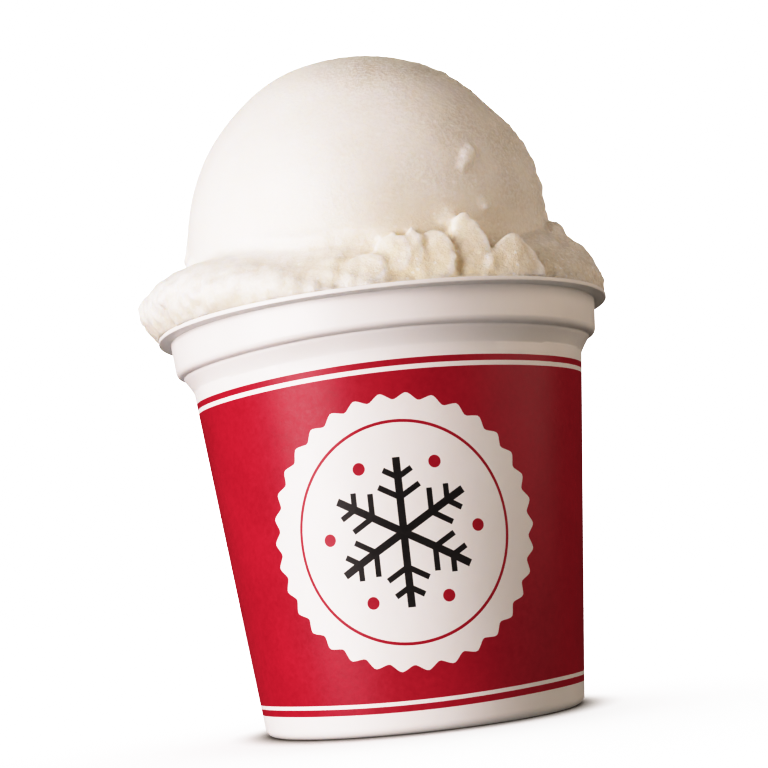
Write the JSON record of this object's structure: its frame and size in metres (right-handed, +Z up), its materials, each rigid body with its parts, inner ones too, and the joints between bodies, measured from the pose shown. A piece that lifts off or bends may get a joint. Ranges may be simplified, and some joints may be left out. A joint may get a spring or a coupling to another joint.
{
  "type": "vanilla ice cup",
  "caption": "Single-serve dessert: a round scoop of pale icy vanilla pressed into a white rimmed cup with a broad red printed band.",
  "frame": {"origin": "centre of the cup's flat underside, on the surface that it stands on", "axes": "+Z up along the cup's axis; -Y is the side shown in the picture, with the round badge; +X is to the viewer's right"},
  "size_m": [0.0788, 0.0769, 0.1129],
  "materials": {
    "cup_white": "white moulded plastic with a soft sheen, printed round its wall in red",
    "ice": "pale vanilla ice, translucent and finely granular, with broken flakes"
  },
  "bodies": {
    "root": {"cup": "cup_white", "ice_cream": "ice"}
  },
  "joints": []
}
